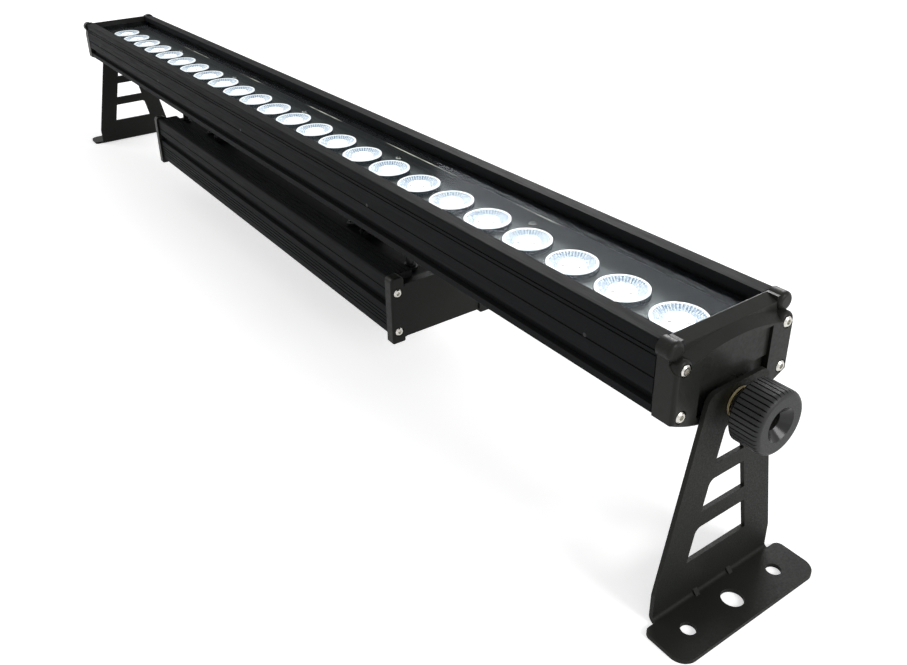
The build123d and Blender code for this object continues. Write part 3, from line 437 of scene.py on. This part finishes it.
# %% Lens light
def lit(name, colour, tone, patch_mm, strength):
    """A clear, glossy surface that glows, with light that drifts between two colours."""
    material, tree = start_material(name)
    place = add_node(tree, "ShaderNodeTexCoord").outputs["Object"]
    colour_now = tones(tree, place, colour, tone, patch_mm)
    surface = add_node(
        tree, "ShaderNodeBsdfPrincipled",
        {"Base Color": linear("#20242a"), "Roughness": 0.12, "IOR": 1.49, "Emission Strength": strength},
        {"Emission Color": colour_now},
    )
    return finish_material(material, surface.outputs["BSDF"])


WALL, RIM, VALLEY, HAZE, RIB, CORE, PIP = range(7)
lens_light = [
    lit("clear_acrylic_wall", "#161b1c", "#2a3235", patch_mm=4, strength=1.0),
    lit("lit_acrylic_rim", "#f4f8ff", "#ffffff", patch_mm=6, strength=1.6),
    lit("lit_acrylic_valley", "#5c7694", "#dce8f6", patch_mm=0.9, strength=1.05),
    lit("lit_acrylic_haze", "#86a0bd", "#f6fafe", patch_mm=1.0, strength=1.2),
    lit("lit_acrylic_rib", "#9fb4ce", "#ffffff", patch_mm=0.9, strength=1.45),
    lit("lit_acrylic_core", "#fdfeff", "#ffffff", patch_mm=5, strength=3.0),
    lit("mould_pin_mark", "#b6c1c6", "#d0d9dd", patch_mm=0.5, strength=1.35),
]
print([material.name for material in lens_light])


# %% [markdown]
# A lens is round all over, so it could be a turned profile, and it nearly is: a table of rings, each with a radius
# and a height. What turning can't make are the ribs, so each ring also has a rib depth. Every band between two
# rings has one light.

# %% The rings of a lens
def lens_rings():
    """Radius, height and rib depth of each ring of points, from the outside in."""
    rim_inside = lens_radius - RIM_WIDTH
    funnel_top = rim_inside - RIM_ROUND
    funnel_level = lens_top - FUNNEL_DEPTH
    return [
        (lens_radius, plate_high.z - WALL_FOOT, 0),
        (lens_radius, lens_top - LIT_WALL, 0),
        (lens_radius, lens_top - RIM_ROUND, 0),
        (lens_radius - RIM_ROUND, lens_top, 0),
        (rim_inside, lens_top, 0),
        (funnel_top, lens_top - RIM_ROUND, 0),
        (funnel_top - RIB_HEAD_IN, lens_top - RIB_HEAD_DOWN, RIB_DEPTH),
        ((funnel_top + FUNNEL_FOOT) / 2, lens_top - FUNNEL_DEPTH / 2, RIB_DEPTH),
        (FUNNEL_FOOT + RIB_FOOT_OUT, funnel_level + RIB_FOOT_UP, RIB_FOOT_SHARE * RIB_DEPTH),
        (FUNNEL_FOOT, funnel_level, 0),
        (CORE_FOOT, funnel_level, 0),
        (CORE_TOP, core_level, 0),
        (CORE_TOP - CORE_SHOULDER, core_level + CORE_RISES[0], 0),
        (CORE_TOP / 2, core_level + CORE_RISES[1], 0),
    ]


BAND_LIGHT = [WALL, RIM, RIM, RIM, RIM, VALLEY, VALLEY, HAZE, HAZE, HAZE, CORE, CORE, CORE]
print("rings:", len(lens_rings()), "bands:", len(BAND_LIGHT))

# %% [markdown]
# The mesh starts at the wall's foot and goes inwards, ring after ring. A rib has four corners on each ring, and
# two of them are pulled towards the middle, which makes its face and both flanks. The foot is closed, so every
# lens is a solid.

# %% One lens
CORNERS = len(RIB_CORNERS)
RING_POINTS = CORNERS * RIBS


def add_lens(mesh, centre_x):
    """Adds one lens's faces to the mesh, with a light for each band."""
    turned = centre_x / LENS_TURN
    rings = []
    for radius, height, rib in lens_rings():
        ring = []
        for step in range(RING_POINTS):
            corner = step % CORNERS
            angle = 2 * math.pi * (step // CORNERS + RIB_CORNERS[corner] + turned) / RIBS
            reach = radius - (rib if corner >= 2 else 0)
            ring.append(mesh.verts.new((centre_x + reach * math.cos(angle), reach * math.sin(angle), height)))
        rings.append(ring)
    for light, outer, inner in zip(BAND_LIGHT, rings, rings[1:]):
        for step in range(RING_POINTS):
            after = (step + 1) % RING_POINTS
            face = mesh.faces.new((outer[step], outer[after], inner[after], inner[step]))
            face.material_index = RIB if light in (VALLEY, HAZE) and step % CORNERS else light
    crown = mesh.verts.new((centre_x, 0, core_level + CORE_RISES[2]))
    for step in range(RING_POINTS):
        after = (step + 1) % RING_POINTS
        mesh.faces.new((rings[-1][step], rings[-1][after], crown)).material_index = CORE
    mesh.faces.new(reversed(rings[0])).material_index = WALL


print("points on each ring:", RING_POINTS)

# %% [markdown]
# The pips are low domes on the core's edge, at the same two places in every lens. They could be dots in the core's
# material, but a dot has no rim for the light to shade, so each is a small closed shape rooted in the core.

# %% One pip
PIP_PLACES = ((-0.5 * MM, -6.9 * MM), (6.8 * MM, -0.7 * MM))
PIP_RADIUS = 1.2 * MM
PIP_RINGS = ((1.0, 0.45 * MM), (0.85, 0.95 * MM), (0.45, 1.1 * MM))  # share of the radius, rise from the core's edge
PIP_CORNERS = 12


def add_pip(mesh, centre_x, centre_y):
    """A low dome that grows out of the core's edge."""
    turns = [2 * math.pi * step / PIP_CORNERS for step in range(PIP_CORNERS)]
    rings = []
    for share, rise in PIP_RINGS:
        reach = share * PIP_RADIUS
        rings.append([
            mesh.verts.new((centre_x + reach * math.cos(turn), centre_y + reach * math.sin(turn), core_level + rise))
            for turn in turns
        ])
    for outer, inner in zip(rings, rings[1:]):
        for step in range(PIP_CORNERS):
            after = (step + 1) % PIP_CORNERS
            mesh.faces.new((outer[step], outer[after], inner[after], inner[step])).material_index = PIP
    mesh.faces.new(rings[-1]).material_index = PIP
    mesh.faces.new(reversed(rings[0])).material_index = PIP


print("pips on each lens:", len(PIP_PLACES))


# %% [markdown]
# The real lenses are 24 loose pieces, but the CAD model holds them as one node, so they share one mesh here too. It
# rides on the head and stands for the CAD node, which is hidden.

# %% Make all the lenses
def to_object(name, mesh, materials):
    """Turns finished mesh code into an object with these materials."""
    data = bpy.data.meshes.new(name)
    mesh.to_mesh(data)
    mesh.free()
    for material in materials:
        data.materials.append(material)
    new_object = bpy.data.objects.new(name, data)
    bpy.context.collection.objects.link(new_object)
    return new_object


lens_mesh = bmesh.new()
for centre_x in lens_centres:
    add_lens(lens_mesh, centre_x)
    for offset_x, centre_y in PIP_PLACES:
        add_pip(lens_mesh, centre_x + offset_x, centre_y)
lit_lenses = to_object("lit_lenses", lens_mesh, lens_light)
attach(lit_lenses, "head")
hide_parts("lenses")
print("lens faces:", len(lit_lenses.data.polygons))

# %% [markdown]
# ## Painted glints along the lens plate's edge
#
# The plate is a tray with folded sides that slides into the housing from its end. The lenses' light shows as thin
# broken bright lines along its rear fold, where it meets the housing wall, and here they are painted glints. A mask
# in the paint would need a line half a millimetre wide on a metre of plate, so each bright stretch is a thin sliver
# of its own, pointed at both ends, that lies on the fold and glows by the same recipe as the lenses: painted light,
# not a lamp.

# %% Build the painted edge glints
# Stretches of the fold that carry a painted glint of the lenses' light.
PAINTED_GLINT_RUNS = ((-350, -264), (-183, -117), (-26, 46), (118, 221), (278, 333))  # mm along the bar
FOLD_EDGE = 0.1 * MM  # how far the slivers keep inside the fold's outer face
SLIVER_WIDTH = 0.9 * MM
SLIVER_HEIGHT = 0.25 * MM
SLIVER_POINT = 12 * MM
# The slivers' glow is a painted glint, not light from any lamp.
painted_glint_light = lit("painted_glint_glow", "#5e5f58", "#e6e5d4", patch_mm=16, strength=1.5)


def add_sliver(mesh, start, end):
    """A pointed sliver along X between two places, lying on the plate's rear fold."""
    outside = plate_high.y - FOLD_EDGE
    middle = outside - SLIVER_WIDTH / 2
    tips = [mesh.verts.new((x, middle, plate_high.z)) for x in (start, end)]
    sections = [
        [
            mesh.verts.new((x, outside - SLIVER_WIDTH, plate_high.z)),
            mesh.verts.new((x, outside, plate_high.z)),
            mesh.verts.new((x, middle, plate_high.z + SLIVER_HEIGHT)),
        ]
        for x in (start + SLIVER_POINT, end - SLIVER_POINT)
    ]
    first, last = sections
    for corner in range(3):
        after = (corner + 1) % 3
        mesh.faces.new((first[corner], first[after], last[after], last[corner]))
        mesh.faces.new((tips[0], first[after], first[corner]))
        mesh.faces.new((tips[1], last[corner], last[after]))


sliver_mesh = bmesh.new()
for start, end in PAINTED_GLINT_RUNS:
    add_sliver(sliver_mesh, start * MM, end * MM)
bmesh.ops.recalc_face_normals(sliver_mesh, faces=sliver_mesh.faces)
painted_edge_glints = to_object("painted_edge_glints", sliver_mesh, [painted_glint_light])
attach(painted_edge_glints, "head")
# Each stretch is a glowing sliver: a painted glint of the lenses' light.
print("rubbed stretches:", len(PAINTED_GLINT_RUNS))

# %% [markdown]
# ## Camera
#
# The photograph was taken from low down beyond the right end with a moderately wide lens. A fit of the lens row,
# the rails and the foot gave the camera's place, its three axes and its focal length in pixels. The picture was
# cropped off centre, which is a small lens shift and not a turn of the camera.

# %% Place the camera
PHOTO_WIDTH, PHOTO_HEIGHT = 907, 665
FOCAL_PIXELS = 886.48
AXIS_X_PIXEL, AXIS_Y_PIXEL = 414.83, 247.70
SENSOR_WIDTH = 36.0
NEAREST, FARTHEST = 0.01, 50
CAMERA_PLACE = Vector((0.71798, -0.32749, 0.38407))
CAMERA_RIGHT = (0.55526, 0.83109, -0.03114)
CAMERA_UP = (-0.34226, 0.26247, 0.90220)
CAMERA_BACK = (0.75799, -0.49030, 0.43019)

camera = bpy.data.objects.new("camera", bpy.data.cameras.new("camera"))
bpy.context.collection.objects.link(camera)
camera.matrix_world = Matrix.Translation(CAMERA_PLACE) @ Matrix(
    (CAMERA_RIGHT, CAMERA_UP, CAMERA_BACK)
).transposed().to_4x4()
camera.data.sensor_width = SENSOR_WIDTH
camera.data.lens = FOCAL_PIXELS * SENSOR_WIDTH / PHOTO_WIDTH
camera.data.shift_x = (PHOTO_WIDTH / 2 - AXIS_X_PIXEL) / PHOTO_WIDTH
camera.data.shift_y = (AXIS_Y_PIXEL - PHOTO_HEIGHT / 2) / PHOTO_WIDTH
camera.data.clip_start, camera.data.clip_end = NEAREST, FARTHEST
bpy.context.scene.camera = camera
print(f"lens {camera.data.lens:.2f} mm, shift {camera.data.shift_x:.4f}, {camera.data.shift_y:.4f}")

# %% [markdown]
# ## Studio
#
# A catalogue shows such a lamp on a white sweep that has no horizon and only a soft shadow. More light on the scene
# would make the sweep white, but the lamp too pale. So the floor and the dome ask each ray what it is for: one from
# the camera, from a mirror or through glass sees a white background, and any other only carries plain light.

# %% Rays that see the background
def sees_background(tree):
    """One for rays from the camera, from a mirror or through glass, and nought for rays that only carry light."""
    ray = add_node(tree, "ShaderNodeLightPath")
    straight = add_node(
        tree, "ShaderNodeMath", links={0: ray.outputs["Is Camera Ray"], 1: ray.outputs["Is Transmission Ray"]},
        operation="MAXIMUM",
    )
    either = add_node(
        tree, "ShaderNodeMath", links={0: straight.outputs["Value"], 1: ray.outputs["Is Glossy Ray"]},
        operation="MAXIMUM",
    )
    return either.outputs["Value"]


print("helper:", sees_background.__name__)

# %% [markdown]
# The floor is a sheet of matt near-white paint that takes a real shadow. It would render pale grey in this light, so
# a glow that only those rays see lifts it to white and leaves the shadow soft.

# %% Floor
FLOOR_SIZE = 12.0
FLOOR_LEVEL = -0.2 * MM  # just under the feet, so that no two surfaces lie in one plane
FLOOR_GLOW = 0.5

floor_paint, tree = start_material("studio_floor_paint")
place = add_node(tree, "ShaderNodeTexCoord").outputs["Object"]
floor_colour = tones(tree, place, "#f4f4f4", "#f8f8f8", patch_mm=400)
matt = add_node(tree, "ShaderNodeBsdfDiffuse", {"Roughness": 0.5}, {"Color": floor_colour})
lift = add_node(
    tree, "ShaderNodeMath", {1: FLOOR_GLOW}, {0: sees_background(tree)}, operation="MULTIPLY"
)
glow = add_node(tree, "ShaderNodeEmission", {"Color": linear("#ffffff")}, {"Strength": lift.outputs["Value"]})
floor_surface = add_node(
    tree, "ShaderNodeAddShader", links={0: matt.outputs["BSDF"], 1: glow.outputs["Emission"]}
)
finish_material(floor_paint, floor_surface.outputs["Shader"])

bpy.ops.mesh.primitive_plane_add(size=FLOOR_SIZE, location=(0, 0, FLOOR_LEVEL))
floor = bpy.context.object
floor.name = "studio_floor"
floor.data.materials.append(floor_paint)
print("floor", FLOOR_SIZE, "m")

# %% [markdown]
# A black object shows mostly what it reflects. Small lamps would give it hard spots, so it is lit with big soft
# boxes, one beyond each end of the bar, which open up the caps. The pale patch near the bar's right end is a lamp
# mirrored in the cover glass. A card of light behind the bar stands where that mirror looks, and it gives no light
# to matt surfaces.

# %% Soft boxes
def soft_box(name, place, aim, size, power):
    """A square lamp that faces a place."""
    lamp = bpy.data.objects.new(name, bpy.data.lights.new(name, "AREA"))
    lamp.data.shape = "SQUARE"
    lamp.data.size = size
    lamp.data.energy = power
    lamp.location = place
    lamp.rotation_mode = "QUATERNION"
    lamp.rotation_quaternion = (Vector(aim) - Vector(place)).to_track_quat("-Z", "Y")
    bpy.context.collection.objects.link(lamp)
    return lamp


soft_box("soft_box_end", place=(2.2, 0.5, 1.1), aim=(0.45, 0, 0.1), size=1.0, power=27)
soft_box("soft_box_left", place=(-2.2, -1.3, 1.1), aim=(-0.3, 0, 0.1), size=1.0, power=14)
sheen_card = soft_box("sheen_card", place=(-1.15, 1.75, 1.3), aim=(0.3, 0, 0.15), size=1.4, power=68)
sheen_card.visible_diffuse = False

# %% [markdown]
# The rest of the studio is a dome. It could be a picture of a real studio, but a plain one keeps the object's own
# colours. It is pure white where it is seen, and lights the scene at about half of that, at which a colour renders
# about as it is written.

# %% Dome
DOME_LIGHT = 0.55

sky = bpy.data.worlds.new("studio_dome")
bpy.context.scene.world = sky
sky.use_nodes = True
tree = sky.node_tree
tree.nodes.clear()
seen = sees_background(tree)
dome_light = add_node(tree, "ShaderNodeBackground", {"Color": linear("#ffffff"), "Strength": DOME_LIGHT})
dome_seen = add_node(tree, "ShaderNodeBackground", {"Color": linear("#ffffff"), "Strength": 1.0})
dome = add_node(
    tree, "ShaderNodeMixShader",
    links={0: seen, 1: dome_light.outputs["Background"], 2: dome_seen.outputs["Background"]},
)
add_node(tree, "ShaderNodeOutputWorld", links={"Surface": dome.outputs["Shader"]})
bpy.context.scene.view_settings.view_transform = "Standard"
print("world:", sky.name, "light:", DOME_LIGHT)
